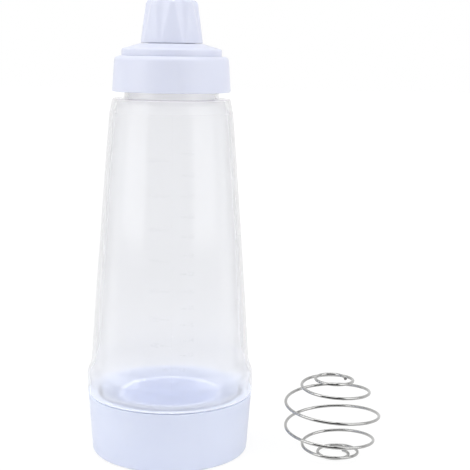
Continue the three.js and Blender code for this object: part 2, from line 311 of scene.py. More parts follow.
def smooth(mesh):
    mesh.shade_smooth()
    mesh.set_sharp_from_angle(angle=SHARP_ANGLE)


def turned(name, outline, closed, segments=TURN_SEGMENTS):
    """A solid turned from an outline that runs anticlockwise, radius to the right, height up."""
    points, rows = [], []
    for r, z in outline:
        if r < ON_AXIS:
            rows.append([len(points)] * segments)
            points.append((0, 0, z))
            continue
        rows.append(range(len(points), len(points) + segments))
        for k in range(segments):
            turn = math.tau * k / segments
            points.append((r * math.cos(turn), r * math.sin(turn), z))
    faces = []
    pairs = list(zip(rows, rows[1:] + rows[:1])) if closed else list(zip(rows, rows[1:]))
    for low, high in pairs:
        for k in range(segments):
            n = (k + 1) % segments
            corners = list(dict.fromkeys((low[k], low[n], high[n], high[k])))
            if len(corners) > 2:
                faces.append(corners)
    return placed(name, mesh_of(name, points, faces))


# Node trees


def feed(tree, value, socket):
    if isinstance(value, bpy.types.NodeSocket):
        tree.links.new(value, socket)
    else:
        socket.default_value = value


def reckon(tree, operation, *values):
    """A Math node's result."""
    node = tree.nodes.new("ShaderNodeMath")
    node.operation = operation
    for value, socket in zip(values, node.inputs):
        feed(tree, value, socket)
    return node.outputs[0]


def squared(tree, value):
    return reckon(tree, "MULTIPLY", value, value)


def hypotenuse(tree, a, b):
    return reckon(tree, "SQRT", reckon(tree, "ADD", squared(tree, a), squared(tree, b)))


def ease(tree, value, start, end, low, high, kind="SMOOTHSTEP"):
    """A value brought from one range to another."""
    node = tree.nodes.new("ShaderNodeMapRange")
    node.interpolation_type = kind
    for given, socket in zip((value, start, end, low, high), node.inputs):
        feed(tree, given, socket)
    return node.outputs[0]


def shape_tree(name, sizes, takes_shape=True):
    """An empty shape tree with named size inputs, its input sockets and its output node."""
    tree = bpy.data.node_groups.new(name, "GeometryNodeTree")
    face = tree.interface
    if takes_shape:
        face.new_socket(name="Shape", in_out="INPUT", socket_type="NodeSocketGeometry")
    for size, kind in sizes.items():
        face.new_socket(name=size, in_out="INPUT", socket_type=kind)
    face.new_socket(name="Shape", in_out="OUTPUT", socket_type="NodeSocketGeometry")
    entry = tree.nodes.new("NodeGroupInput")
    leave = tree.nodes.new("NodeGroupOutput")
    return tree, entry.outputs, leave.inputs[0]


def close_tree(tree, shape, finish, leave):
    """Ends a shape tree with real geometry in its finish."""
    real = tree.nodes.new("GeometryNodeRealizeInstances")
    tree.links.new(shape, real.inputs[0])
    coat = tree.nodes.new("GeometryNodeSetMaterial")
    tree.links.new(real.outputs[0], coat.inputs["Geometry"])
    tree.links.new(finish, coat.inputs["Material"])
    tree.links.new(coat.outputs[0], leave)


def shaped(made, tree, sizes):
    """Runs a shape tree on an object and leaves the result as its plain mesh."""
    modifier = made.modifiers.new(tree.name, "NODES")
    modifier.node_group = tree
    for item in tree.interface.items_tree:
        if item.in_out == "INPUT" and item.name in sizes:
            modifier[item.identifier] = sizes[item.name]
    graph = bpy.context.evaluated_depsgraph_get()
    mesh = bpy.data.meshes.new_from_object(made.evaluated_get(graph))
    made.modifiers.clear()
    made.data = mesh
    smooth(mesh)
    return made


def cylinder_place(tree):
    """Bearing in turns, radius, height, and the outward direction, of each point."""
    position = tree.nodes.new("GeometryNodeInputPosition")
    split = tree.nodes.new("ShaderNodeSeparateXYZ")
    tree.links.new(position.outputs[0], split.inputs[0])
    x, y, z = split.outputs
    bearing = reckon(tree, "DIVIDE", reckon(tree, "ARCTAN2", y, x), math.tau)
    r = hypotenuse(tree, x, y)
    outward = tree.nodes.new("ShaderNodeCombineXYZ")
    feed(tree, reckon(tree, "DIVIDE", x, r), outward.inputs[0])
    feed(tree, reckon(tree, "DIVIDE", y, r), outward.inputs[1])
    return bearing, r, z, outward.outputs[0]


def push(tree, shape, direction, amount):
    """Moves points along a direction."""
    offset = tree.nodes.new("ShaderNodeVectorMath")
    offset.operation = "SCALE"
    tree.links.new(direction, offset.inputs[0])
    feed(tree, amount, offset.inputs["Scale"])
    moved = tree.nodes.new("GeometryNodeSetPosition")
    tree.links.new(shape, moved.inputs["Geometry"])
    tree.links.new(offset.outputs[0], moved.inputs["Offset"])
    return moved.outputs[0]


def screw_thread_tree():
    """Raises a screw thread on the round wall of one radius."""
    lengths = ("Wall radius", "Depth", "Lead", "Foot", "Crest", "Low", "High", "Run out")
    sizes = {size: "NodeSocketFloat" for size in (*lengths, "Starts", "Phase")}
    tree, given, leave = shape_tree("screw_thread", {**sizes, "Finish": "NodeSocketMaterial"})
    bearing, r, z, outward = cylinder_place(tree)
    pitch = reckon(tree, "DIVIDE", given["Lead"], given["Starts"])
    along = reckon(tree, "SUBTRACT", reckon(tree, "DIVIDE", z, given["Lead"]), bearing)
    turns = reckon(tree, "ADD", reckon(tree, "MULTIPLY", along, given["Starts"]), given["Phase"])
    part_turn = reckon(tree, "SUBTRACT", reckon(tree, "FRACT", turns), 0.5)
    off_middle = reckon(tree, "MULTIPLY", part_turn, pitch)
    middle = reckon(tree, "SUBTRACT", z, off_middle)
    ridge = ease(tree, reckon(tree, "ABSOLUTE", off_middle), given["Crest"], given["Foot"], 1.0, 0.0)
    low_end = reckon(tree, "ADD", given["Low"], given["Run out"])
    high_end = reckon(tree, "SUBTRACT", given["High"], given["Run out"])
    begun = ease(tree, middle, given["Low"], low_end, 0.0, 1.0)
    not_ended = ease(tree, middle, high_end, given["High"], 1.0, 0.0)
    off_wall = reckon(tree, "ABSOLUTE", reckon(tree, "SUBTRACT", r, given["Wall radius"]))
    on_wall = reckon(tree, "LESS_THAN", off_wall, THREAD_WALL_SLACK * MM)
    share = reckon(tree, "MULTIPLY", reckon(tree, "MULTIPLY", begun, not_ended), on_wall)
    amount = reckon(tree, "MULTIPLY", reckon(tree, "MULTIPLY", ridge, share), given["Depth"])
    close_tree(tree, push(tree, given["Shape"], outward, amount), given["Finish"], leave)
    return tree


screw_thread = screw_thread_tree()


def threaded(made, wall_r, room, wall, ends, finish, phase=0.0):
    """Raises a thread on one round wall of a turned piece, inwards where the room is negative."""
    return shaped(made, screw_thread, {
        "Wall radius": wall_r * MM,
        "Depth": math.copysign(abs(room) - THREAD_SHY, room) * MM,
        "Lead": THREAD_LEAD * MM,
        "Foot": THREAD_FOOT * MM,
        "Crest": THREAD_CREST * MM,
        "Low": (wall[0] + ends[0]) * MM,
        "High": (wall[1] - ends[1]) * MM,
        "Run out": THREAD_RUN_OUT * MM,
        "Starts": float(THREAD_STARTS),
        "Phase": phase,
        "Finish": finish,
    })


def cap_flute_tree():
    """Hollows the flutes in the cap's side: leaning round hollows, spaced evenly round it."""
    lengths = ("Tip height", "Top height", "Tip centre", "Top centre", "Tip round", "Top round", "Edge")
    sizes = {size: "NodeSocketFloat" for size in (*lengths, "Count", "First turn")}
    tree, given, leave = shape_tree("cap_flutes", {**sizes, "Finish": "NodeSocketMaterial"})
    bearing, r, z, outward = cylinder_place(tree)
    from_first = reckon(tree, "SUBTRACT", bearing, given["First turn"])
    step = reckon(tree, "MULTIPLY", from_first, given["Count"])
    off_flute = reckon(tree, "SUBTRACT", reckon(tree, "FRACT", reckon(tree, "ADD", step, 0.5)), 0.5)
    angle = reckon(tree, "DIVIDE", reckon(tree, "MULTIPLY", off_flute, math.tau), given["Count"])
    flute_height = reckon(tree, "SUBTRACT", given["Top height"], given["Tip height"])
    rise = reckon(tree, "DIVIDE", reckon(tree, "SUBTRACT", z, given["Tip height"]), flute_height)

    def at_height(tip, top):
        change = reckon(tree, "MULTIPLY", reckon(tree, "SUBTRACT", given[top], given[tip]), rise)
        return reckon(tree, "ADD", given[tip], change)

    centre = at_height("Tip centre", "Top centre")
    round_r = at_height("Tip round", "Top round")
    across = reckon(tree, "MULTIPLY", centre, reckon(tree, "SINE", angle))
    room = reckon(tree, "SUBTRACT", squared(tree, round_r), squared(tree, across))
    near = reckon(tree, "SQRT", reckon(tree, "MAXIMUM", room, 0.0))
    along = reckon(tree, "MULTIPLY", centre, reckon(tree, "COSINE", angle))
    hollow = reckon(tree, "SUBTRACT", along, near)
    cut = reckon(tree, "SMOOTH_MIN", r, hollow, given["Edge"])
    amount = reckon(tree, "SUBTRACT", cut, r)
    close_tree(tree, push(tree, given["Shape"], outward, amount), given["Finish"], leave)
    return tree


def whisk_wire_tree():
    """Winds the whisk's wire down a ball, and makes it a round wire."""
    lengths = ("Ball radius", "Half height", "Foot shift", "Wire radius", "Centre x", "Centre y")
    sizes = {size: "NodeSocketFloat" for size in (*lengths, "End latitude", "Turns", "Start")}
    counts = {"Steps": "NodeSocketInt", "Sides": "NodeSocketInt", "Finish": "NodeSocketMaterial"}
    tree, given, leave = shape_tree("whisk_wire", {**sizes, **counts}, takes_shape=False)
    line = tree.nodes.new("GeometryNodeCurvePrimitiveLine")
    steps = tree.nodes.new("GeometryNodeResampleCurve")
    tree.links.new(line.outputs[0], steps.inputs["Curve"])
    tree.links.new(given["Steps"], steps.inputs["Count"])
    share = tree.nodes.new("GeometryNodeSplineParameter").outputs["Factor"]
    swing = reckon(tree, "COSINE", reckon(tree, "MULTIPLY", share, math.pi))
    latitude = reckon(tree, "MULTIPLY", given["End latitude"], swing)
    wound = reckon(tree, "MULTIPLY", reckon(tree, "MULTIPLY", given["Turns"], share), math.tau)
    turn = reckon(tree, "ADD", given["Start"], wound)
    r = reckon(tree, "MULTIPLY", given["Ball radius"], reckon(tree, "COSINE", latitude))
    rise = reckon(tree, "SINE", latitude)
    below = reckon(tree, "MAXIMUM", reckon(tree, "MULTIPLY", rise, -1.0), 0.0)
    shift = reckon(tree, "MULTIPLY", given["Foot shift"], below)
    end_rise = reckon(tree, "SINE", given["End latitude"])
    reach = reckon(tree, "MULTIPLY", given["Half height"], end_rise)
    foot = reckon(tree, "ADD", reach, given["Wire radius"])
    x = reckon(tree, "ADD", reckon(tree, "MULTIPLY", r, reckon(tree, "COSINE", turn)), shift)
    y = reckon(tree, "MULTIPLY", r, reckon(tree, "SINE", turn))
    z = reckon(tree, "ADD", foot, reckon(tree, "MULTIPLY", given["Half height"], rise))
    place = tree.nodes.new("ShaderNodeCombineXYZ")
    feed(tree, reckon(tree, "ADD", given["Centre x"], x), place.inputs[0])
    feed(tree, reckon(tree, "ADD", given["Centre y"], y), place.inputs[1])
    feed(tree, z, place.inputs[2])
    coil = tree.nodes.new("GeometryNodeSetPosition")
    tree.links.new(steps.outputs[0], coil.inputs["Geometry"])
    tree.links.new(place.outputs[0], coil.inputs["Position"])
    section = tree.nodes.new("GeometryNodeCurvePrimitiveCircle")
    tree.links.new(given["Sides"], section.inputs["Resolution"])
    tree.links.new(given["Wire radius"], section.inputs["Radius"])
    wire = tree.nodes.new("GeometryNodeCurveToMesh")
    wire.inputs["Fill Caps"].default_value = True
    tree.links.new(coil.outputs[0], wire.inputs["Curve"])
    tree.links.new(section.outputs[0], wire.inputs["Profile Curve"])
    close_tree(tree, wire.outputs[0], given["Finish"], leave)
    return tree


def scale_bar_tree():
    """Sets a bar on each point, as long as the point says, flat against the wall."""
    sizes = {"Height": "NodeSocketFloat", "Proud": "NodeSocketFloat", "Finish": "NodeSocketMaterial"}
    tree, given, leave = shape_tree("scale_bars", sizes)
    bar_size = tree.nodes.new("ShaderNodeCombineXYZ")
    bar_size.inputs[0].default_value = 1.0
    tree.links.new(given["Height"], bar_size.inputs[1])
    tree.links.new(given["Proud"], bar_size.inputs[2])
    bar = tree.nodes.new("GeometryNodeMeshCube")
    tree.links.new(bar_size.outputs[0], bar.inputs["Size"])
    outward = tree.nodes.new("GeometryNodeInputNamedAttribute")
    outward.data_type = "FLOAT_VECTOR"
    outward.inputs["Name"].default_value = "outward"
    length = tree.nodes.new("GeometryNodeInputNamedAttribute")
    length.inputs["Name"].default_value = "bar_length"
    upright = tree.nodes.new("FunctionNodeAlignRotationToVector")
    upright.axis = "Y"
    upright.inputs["Vector"].default_value = (0, 0, 1)
    facing = tree.nodes.new("FunctionNodeAlignRotationToVector")
    facing.axis = "Z"
    facing.pivot_axis = "X"
    tree.links.new(upright.outputs[0], facing.inputs["Rotation"])
    tree.links.new(outward.outputs[0], facing.inputs["Vector"])
    stretch = tree.nodes.new("ShaderNodeCombineXYZ")
    tree.links.new(length.outputs[0], stretch.inputs[0])
    stretch.inputs[1].default_value = 1.0
    stretch.inputs[2].default_value = 1.0
    set_on = tree.nodes.new("GeometryNodeInstanceOnPoints")
    tree.links.new(given["Shape"], set_on.inputs["Points"])
    tree.links.new(bar.outputs[0], set_on.inputs["Instance"])
    tree.links.new(facing.outputs[0], set_on.inputs["Rotation"])
    tree.links.new(stretch.outputs[0], set_on.inputs["Scale"])
    close_tree(tree, set_on.outputs[0], given["Finish"], leave)
    return tree


# Finishes
GRAIN_LOW, GRAIN_HIGH = 0.3, 0.7  # nearly all of a grain's noise lies between these


def new_finish(name):
    finish = bpy.data.materials.new(name)
    finish.use_nodes = True
    tree = finish.node_tree
    return finish, tree, tree.nodes["Principled BSDF"]


def place_parts(tree, kind="Object"):
    """The x, y and z of the shaded place."""
    where = tree.nodes.new("ShaderNodeTexCoord")
    split = tree.nodes.new("ShaderNodeSeparateXYZ")
    tree.links.new(where.outputs[kind], split.inputs[0])
    return split.outputs


def grain(tree, scale, detail, stretch=(1, 1, 1)):
    """Noise over the piece, between 0 and 1."""
    where = tree.nodes.new("ShaderNodeTexCoord")
    mapping = tree.nodes.new("ShaderNodeMapping")
    mapping.inputs["Scale"].default_value = stretch
    noise = tree.nodes.new("ShaderNodeTexNoise")
    noise.inputs["Scale"].default_value = scale
    noise.inputs["Detail"].default_value = detail
    tree.links.new(where.outputs["Object"], mapping.inputs["Vector"])
    tree.links.new(mapping.outputs[0], noise.inputs["Vector"])
    return noise.outputs["Fac"]


def tinted(tree, shader, share, dark, light):
    """Base colour that drifts between two close tints."""
    ramp = tree.nodes.new("ShaderNodeValToRGB")
    ramp.color_ramp.elements[0].position = GRAIN_LOW
    ramp.color_ramp.elements[0].color = (*dark, 1)
    ramp.color_ramp.elements[1].position = GRAIN_HIGH
    ramp.color_ramp.elements[1].color = (*light, 1)
    tree.links.new(share, ramp.inputs[0])
    tree.links.new(ramp.outputs[0], shader.inputs["Base Color"])


def roughened(tree, shader, share, low, high):
    """Roughness that drifts between two values."""
    rough = ease(tree, share, GRAIN_LOW, GRAIN_HIGH, low, high, "LINEAR")
    tree.links.new(rough, shader.inputs["Roughness"])


def bumped(tree, shader, height, strength, distance):
    bump = tree.nodes.new("ShaderNodeBump")
    bump.inputs["Strength"].default_value = strength
    bump.inputs["Distance"].default_value = distance
    tree.links.new(height, bump.inputs["Height"])
    tree.links.new(bump.outputs[0], shader.inputs["Normal"])


def surfaced(tree, shader, grains, tints, rough, bump):
    """Tint, roughness and fine relief over a piece, each by a grain of its own."""
    tint_grain, rough_grain, bump_grain = (grain(tree, *g) for g in grains)
    tinted(tree, shader, tint_grain, *tints)
    roughened(tree, shader, rough_grain, *rough)
    bumped(tree, shader, bump_grain, *bump)


def soaked(shader, weight, reach, colour):
    """Light that soaks into a piece and comes out nearby."""
    shader.inputs["Subsurface Weight"].default_value = weight
    shader.inputs["Subsurface Scale"].default_value = reach
    shader.inputs["Subsurface Radius"].default_value = colour


# One lavender plastic in two copies: the lid's tint is darker, painted shade, and the base's is lighter,
# painted light, so that each evens out how the lamps fall on it.
LID_PAINTED_SHADE_TINTS = (0.648, 0.673, 0.79), (0.668, 0.693, 0.80)
BASE_PAINTED_LIGHT_TINTS = (0.668, 0.711, 0.856), (0.688, 0.731, 0.866)
SATIN_GRAINS = (30, 3), (260, 4), (1400, 2)
SATIN_ROUGH = 0.34, 0.44
SATIN_BUMP = 0.12, 0.00005
SATIN_SOAK = 0.5, 0.0015, (1.0, 1.0, 1.0)
SATIN_IOR = 1.49


def satin_lavender(name, tints):
    finish, tree, shader = new_finish(name)
    surfaced(tree, shader, SATIN_GRAINS, tints, SATIN_ROUGH, SATIN_BUMP)
    soaked(shader, *SATIN_SOAK)
    shader.inputs["IOR"].default_value = SATIN_IOR
    return finish


# The haze hides most of the wall's bending of light: part of the light goes straight through,
# part is scattered, and a coat keeps the gloss.
CLEAR_IOR = 1.15
CLEAR_COAT_IOR = 1.6
CLEAR_COAT_ROUGH = 0.08
CLEAR_TINTS = (0.92, 0.93, 0.97), (0.94, 0.95, 0.99)
CLEAR_GRAINS = (40, 3), (90, 3), (45, 2, (1, 1, 0.35))
CLEAR_BUMP = 0.04, 0.0002
HAZE_ROUGH = 0.45, 0.55
HAZE_THROUGH = 0.63
WALL_HAZE = 0.3
BEAD_HAZE = 0.38
BEAD_HAZE_Z, WALL_HAZE_Z = 46, 72
MARK_HAZE = 0.07
SEAM_HAZE = 0.03
SHOULDER_HAZE = 0.75
# The shoulder flat's mauve tint is a painted reflection of the lavender collar above it.
SHOULDER_REFLECTION_TINTS = (0.92, 0.86, 0.94), (0.94, 0.88, 0.96)
# The skirt and the bottle's underside get an opaque milky skin whose pale lavender tint is painted
# light, the lavender of the base scattered into the clear plastic.
SKIRT_HAZE = 1.0
SKIRT_THROUGH = 0.02
SKIRT_COAT = 0.1
SKIRT_PAINTED_LIGHT_TINTS = (0.815, 0.858, 0.975), (0.835, 0.878, 0.995)


def hazy_clear(name, tints, haze, through=HAZE_THROUGH, coat=1.0):
    finish, tree, shader = new_finish(name)
    surfaced(tree, shader, CLEAR_GRAINS, tints, HAZE_ROUGH, CLEAR_BUMP)
    shader.inputs["IOR"].default_value = CLEAR_IOR
    shader.inputs["Transmission Weight"].default_value = through
    shader.inputs["Alpha"].default_value = haze
    shader.inputs["Coat Weight"].default_value = coat
    shader.inputs["Coat IOR"].default_value = CLEAR_COAT_IOR
    shader.inputs["Coat Roughness"].default_value = CLEAR_COAT_ROUGH
    return finish


def hazier_below(finish):
    """Lets the clear wall grow hazier towards its bead."""
    tree = finish.node_tree
    _, _, z = place_parts(tree)
    haze = ease(tree, z, BEAD_HAZE_Z * MM, WALL_HAZE_Z * MM, BEAD_HAZE, WALL_HAZE)
    tree.links.new(haze, tree.nodes["Principled BSDF"].inputs["Alpha"])
    return finish


SILICONE_TINTS = (0.86, 0.87, 0.90), (0.89, 0.90, 0.93)
SILICONE_GRAINS = (60, 3), (300, 3), (900, 2)
SILICONE_ROUGH = 0.5, 0.62
SILICONE_BUMP = 0.1, 0.00005
SILICONE_SOAK = 0.3, 0.003, (1.0, 1.0, 0.9)


def milky_silicone():
    finish, tree, shader = new_finish("milky_silicone")
    surfaced(tree, shader, SILICONE_GRAINS, SILICONE_TINTS, SILICONE_ROUGH, SILICONE_BUMP)
    soaked(shader, *SILICONE_SOAK)
    return finish


STEEL_TINTS = (0.40, 0.40, 0.395), (0.46, 0.46, 0.455)
STEEL_GRAINS = (220, 4), (700, 4), (2600, 3)
STEEL_ROUGH = 0.06, 0.13
STEEL_BUMP = 0.08, 0.00003


def drawn_steel():
    finish, tree, shader = new_finish("drawn_steel")
    surfaced(tree, shader, STEEL_GRAINS, STEEL_TINTS, STEEL_ROUGH, STEEL_BUMP)
    shader.inputs["Metallic"].default_value = 1.0
    return finish


# The lid's copy carries painted shade and the base's copy carries painted light.
lavender = satin_lavender("satin_lavender_lid_shaded_copy", LID_PAINTED_SHADE_TINTS)
base_lavender = satin_lavender("satin_lavender_base_lit_copy", BASE_PAINTED_LIGHT_TINTS)
clear = hazier_below(hazy_clear("hazy_clear_wall", CLEAR_TINTS, WALL_HAZE))
raised_clear = hazy_clear("clear_raised_marks", CLEAR_TINTS, MARK_HAZE)
seam_clear = hazy_clear("clear_parting_lines", CLEAR_TINTS, SEAM_HAZE)
shoulder_haze_and_reflection = hazy_clear("hazy_shoulder_painted_reflection", SHOULDER_REFLECTION_TINTS, SHOULDER_HAZE)
milky_and_painted_light = hazy_clear("milky_skirt_painted_light", SKIRT_PAINTED_LIGHT_TINTS, SKIRT_HAZE, SKIRT_THROUGH, SKIRT_COAT)
silicone = milky_silicone()
steel = drawn_steel()


def finished(made, finish, body, slot, *nodes):
    """Gives a piece its finish and its body, and lets it stand for its solids."""
    if not made.data.materials:
        made.data.materials.append(finish)
    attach(made, body)
    if nodes:
        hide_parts(*nodes)
    return made


# Base cup and its seal


def base_cup():
    web_bottom = CHANNEL_FLOOR - BASE_FLOOR
    well_round = WELL_WALL / 2 - FULL_ROUND_SLACK
    outline = rounded([
        (0, 0, 0),
        (well_outer_r, 0, SOFT_EDGE),
        (well_outer_r, web_bottom, FULL_EDGE),
        (foot_bore_r, web_bottom, FULL_EDGE),
        (foot_bore_r, 0, SOFT_EDGE),
        (base_foot_r, 0, BASE_FOOT_EDGE),
        (BASE_RIM_R, BASE_HEIGHT, BASE_RIM_EDGE),
        (base_bore_r, BASE_HEIGHT, BASE_RIM_EDGE),
        (base_bore_r, CHANNEL_FLOOR, ROUND_EDGE),
        (well_outer_r, CHANNEL_FLOOR, ROUND_EDGE),
        (well_outer_r, WELL_HEIGHT, well_round),
        (well_r, WELL_HEIGHT, well_round),
        (well_r, BASE_FLOOR, WELL_FILLET),
        (0, BASE_FLOOR, 0),
    ], closed=False)
    outline = divided(outline, False, NUT_THREAD_ROW, CHANNEL_FLOOR, BASE_HEIGHT)
    made = turned("base_cup", outline, closed=False)
    wall = CHANNEL_FLOOR, BASE_HEIGHT
    return threaded(made, base_bore_r, -SKIRT_THREAD, wall, BASE_THREAD_ENDS, base_lavender, NUT_PHASE)


def base_seal_ring():
    bottom = CHANNEL_FLOOR + SEAT
    step = bottom + BASE_SEAL_THICK
    lip_top = step + BASE_SEAL_LIP_HEIGHT
    made = turned("base_seal_ring", rounded([
        (base_seal_bore_r, bottom, CRISP_EDGE),
        (skirt_r, bottom, CRISP_EDGE),
        (skirt_r, step, CRISP_EDGE),
        (base_seal_lip_r, step, CRISP_EDGE),
        (base_seal_lip_r, lip_top, BROKEN_EDGE),
        (base_seal_bore_r, lip_top, BROKEN_EDGE),
    ], closed=True), closed=True)
    smooth(made.data)
    return made


finished(base_cup(), base_lavender, "base", "lavender_plastic", "base_cap")
finished(base_seal_ring(), silicone, "base_seal", "silicone", "base_seal")


# Bottle


def drawn_curve(corners, steps):
    """Points along a smooth curve between its end corners, pulled towards those between."""
    out = []
    for i in range(steps + 1):
        level = [Vector(c) for c in corners]
        while len(level) > 1:
            level = [a.lerp(b, i / steps) for a, b in zip(level, level[1:])]
        out.append(tuple(level[0]))
    return out


def bottle_side(inset):
    """The bottle's flare and wall, from the bead up to the shoulder, drawn in by an inset."""
    flare = drawn_curve([
        (bead_r - inset, bead_top),
        (bead_r - inset, bead_top + FLARE_HEIGHT * FLARE_UPRIGHT),
        (wall_bottom_r + FLARE_STEP * FLARE_TURN_STEP - inset, bead_top + FLARE_HEIGHT * FLARE_TURN),
        (wall_bottom_r - inset, flare_top),
    ], FLARE_STEPS)
    middle_r = (wall_bottom_r + wall_top_r) / 2 + 2 * WALL_BULGE
    wall = drawn_curve([
        (wall_bottom_r - inset, flare_top),
        (middle_r - inset, (flare_top + shoulder_line) / 2),
        (wall_top_r - inset, shoulder_line),
    ], WALL_STEPS)
    return flare + wall[1:]


bottle_outside = bottle_side(0)
bottle_inside = bottle_side(BOTTLE_WALL)


def side_r(height):
    """Radius of the bottle's side at a height."""
    for (r, z), (r2, z2) in zip(bottle_outside, bottle_outside[1:]):
        if z <= height <= z2:
            return between(r, r2, (height - z) / (z2 - z))
    return bead_r if height < bead_top else wall_top_r


# How near a face's middle lies to the place that its finish goes by
BORE_SLACK = 0.3
LEDGE_SLACK = 0.2
SHOULDER_SLACK = 0.5
UPWARD = 0.7


def bottle_shell():
    """The clear bottle, with a milky skirt whose lavender tint is painted light from the base, and a
    hazier flat on its shoulder whose mauve tint is a painted reflection of the collar.
    """
    ledge = bead_bottom + BOTTLE_WALL
    ceiling = shoulder_top - BOTTLE_WALL
    corners = [
        (skirt_bore_r, skirt_bottom, BROKEN_EDGE),
        (skirt_r, skirt_bottom, BROKEN_EDGE),
        (skirt_r, bead_bottom, BROKEN_EDGE),
        (bead_r, bead_bottom, BEAD_EDGE),
        *((r, z, 0) for r, z in bottle_outside),
        (shoulder_line_r, shoulder_line + SHOULDER_STEP, 0),
        (shoulder_top_r, shoulder_top, SHOULDER_EDGE),
        (neck_r, shoulder_top, SOFT_EDGE),
        (neck_r, groove_top, BROKEN_EDGE),
        (finish_r, groove_top + NECK_GROOVE_DEPTH, EASED_EDGE),
        (finish_r, neck_top, NECK_RIM_EDGE),
        (neck_bore_r, neck_top, NECK_RIM_EDGE),
        (neck_bore_r, ceiling, FULL_EDGE),
        (shoulder_top_r - SHOULDER_EDGE - BOTTLE_WALL, ceiling, SHOULDER_EDGE),
        *((r, z, 0) for r, z in reversed(bottle_inside)),
        (bead_r - BOTTLE_WALL, ledge, BEAD_EDGE),
        (skirt_bore_r, ledge, SOFT_EDGE),
    ]
    outline = rounded(corners, closed=True)
    outline = divided(outline, True, THREAD_ROW, skirt_bottom, bead_bottom)
    outline = divided(outline, True, THREAD_ROW, groove_top, neck_top)
    made = turned("bottle_shell", outline, closed=True)
    threaded(made, skirt_r, SKIRT_THREAD, (skirt_bottom, bead_bottom), SKIRT_THREAD_ENDS, clear)
    made.data.materials.clear()
    threaded(made, finish_r, NECK_THREAD, (groove_top, neck_top), NECK_THREAD_ENDS, clear)
    made.data.materials.append(milky_and_painted_light)
    made.data.materials.append(shoulder_haze_and_reflection)
    # Faces of the skirt's bore and of the bottom take the milky skin with its painted lavender light.
    for face in made.data.polygons:
        middle = face.center / MM
        on_bore = math.hypot(middle.x, middle.y) < skirt_bore_r + BORE_SLACK
        if (on_bore and middle.z < ledge - LEDGE_SLACK) or middle.z < bead_bottom + BORE_SLACK:
            face.material_index = 1
        # the shoulder's up-facing flat takes the painted reflection of the collar
        elif face.normal.z > UPWARD and abs(middle.z - shoulder_top) < SHOULDER_SLACK:
            face.material_index = 2
    return made


finished(bottle_shell(), clear, "bottle", "clear_plastic", "bottle_body")

# Capacity scale on the bottle's front, whose steps grow upwards as the bottle narrows
ML_STEP = 100
ML_MARKS = range(400, 1100, ML_STEP)
OZ_MARKS = range(12, 36, 2)
ML_PER_OZ = 30
LOWEST_MARK_Z = 75.3
LOWEST_STEP = 14.8
STEP_GROWTH = 1.0
MARK_PROUD = 0.3
MARK_SUNK = 0.1
BAR_HEIGHT = 0.55
ML_BAR_FROM, ML_BAR_TO = -6.3, -1.5
OZ_BAR_FROM, OZ_BAR_TO = 4.4, 8.2
NUMERAL_HEIGHT = 3.6
NUMERAL_GAP = 0.9
UNIT_HEIGHT = 61.7
SCALE_DEG = -86
SEAM_HALF_WIDTH = 0.3
SEAM_PROUD = 0.05
SEAM_SUNK = 0.04


def mark_height(ml):
    """Height of the mark for a volume."""
    steps = (ml - ML_MARKS[0]) / ML_STEP
    return LOWEST_MARK_Z + LOWEST_STEP * steps + STEP_GROWTH * steps * (steps - 1) / 2


def on_wall(across, height, proud):
    """Point on the bottle's front, a distance across and proud of its wall."""
    r = side_r(height)
    turn = math.radians(SCALE_DEG) + across / r
    return ((r + proud) * math.cos(turn), (r + proud) * math.sin(turn), height)


def wall_facing(across, height, step=1):
    """Outward direction of the bottle's wall, from points a step away on each side."""
    low, high = (Vector(on_wall(across, height + d, 0)) for d in (-step, step))
    left, right = (Vector(on_wall(across + d, height, 0)) for d in (-step, step))
    return (right - left).cross(high - low).normalized()


def scale_bars():
    marks = [(mark_height(ml), ML_BAR_FROM, ML_BAR_TO) for ml in ML_MARKS]
    marks += [(mark_height(oz * ML_PER_OZ), OZ_BAR_FROM, OZ_BAR_TO) for oz in OZ_MARKS]
    depth = MARK_PROUD + MARK_SUNK
    middles = [((left + right) / 2, z) for z, left, right in marks]
    points = [on_wall(x, z, (MARK_PROUD - MARK_SUNK) / 2) for x, z in middles]
    mesh = mesh_of("scale_bars", points, [])
    lengths = mesh.attributes.new("bar_length", "FLOAT", "POINT")
    lengths.data.foreach_set("value", [(right - left) * MM for _, left, right in marks])
    facing = mesh.attributes.new("outward", "FLOAT_VECTOR", "POINT")
    facing.data.foreach_set("vector", [c for x, z in middles for c in wall_facing(x, z)])
    sizes = {"Height": BAR_HEIGHT * MM, "Proud": depth * MM, "Finish": raised_clear}
    return shaped(placed("scale_bars", mesh), scale_bar_tree(), sizes)


def numeral(words, across, height, side):
    """Raised figures on the wall, set from a point to its left or right."""
    text = bpy.data.curves.new("figures", "FONT")
    text.body = words
    text.size = NUMERAL_HEIGHT
    text.align_x = side
    text.align_y = "CENTER"
    text.extrude = (MARK_PROUD + MARK_SUNK) / 2
    flat = placed("figures", text)
    graph = bpy.context.evaluated_depsgraph_get()
    mesh = bpy.data.meshes.new_from_object(flat.evaluated_get(graph))
    middle = (MARK_PROUD - MARK_SUNK) / 2
    points = [on_wall(across + v.co.x, height + v.co.y, v.co.z + middle) for v in mesh.vertices]
    faces = [tuple(p.vertices) for p in mesh.polygons]
    bpy.data.objects.remove(flat)
    bpy.data.curves.remove(text)
    return points, faces


def scale_figures():
    words = [(str(ml), ML_BAR_FROM - NUMERAL_GAP, mark_height(ml), "RIGHT") for ml in ML_MARKS]
    words += [(str(oz), OZ_BAR_TO + NUMERAL_GAP, mark_height(oz * ML_PER_OZ), "LEFT") for oz in OZ_MARKS]
    words += [("ml", ML_BAR_TO, UNIT_HEIGHT, "RIGHT"), ("oz", OZ_BAR_FROM, UNIT_HEIGHT, "LEFT")]
    points, faces = [], []
    for word in words:
        more_points, more_faces = numeral(*word)
        faces += [tuple(len(points) + k for k in f) for f in more_faces]
        points += more_points
    return placed("scale_figures", mesh_of("scale_figures", points, faces))


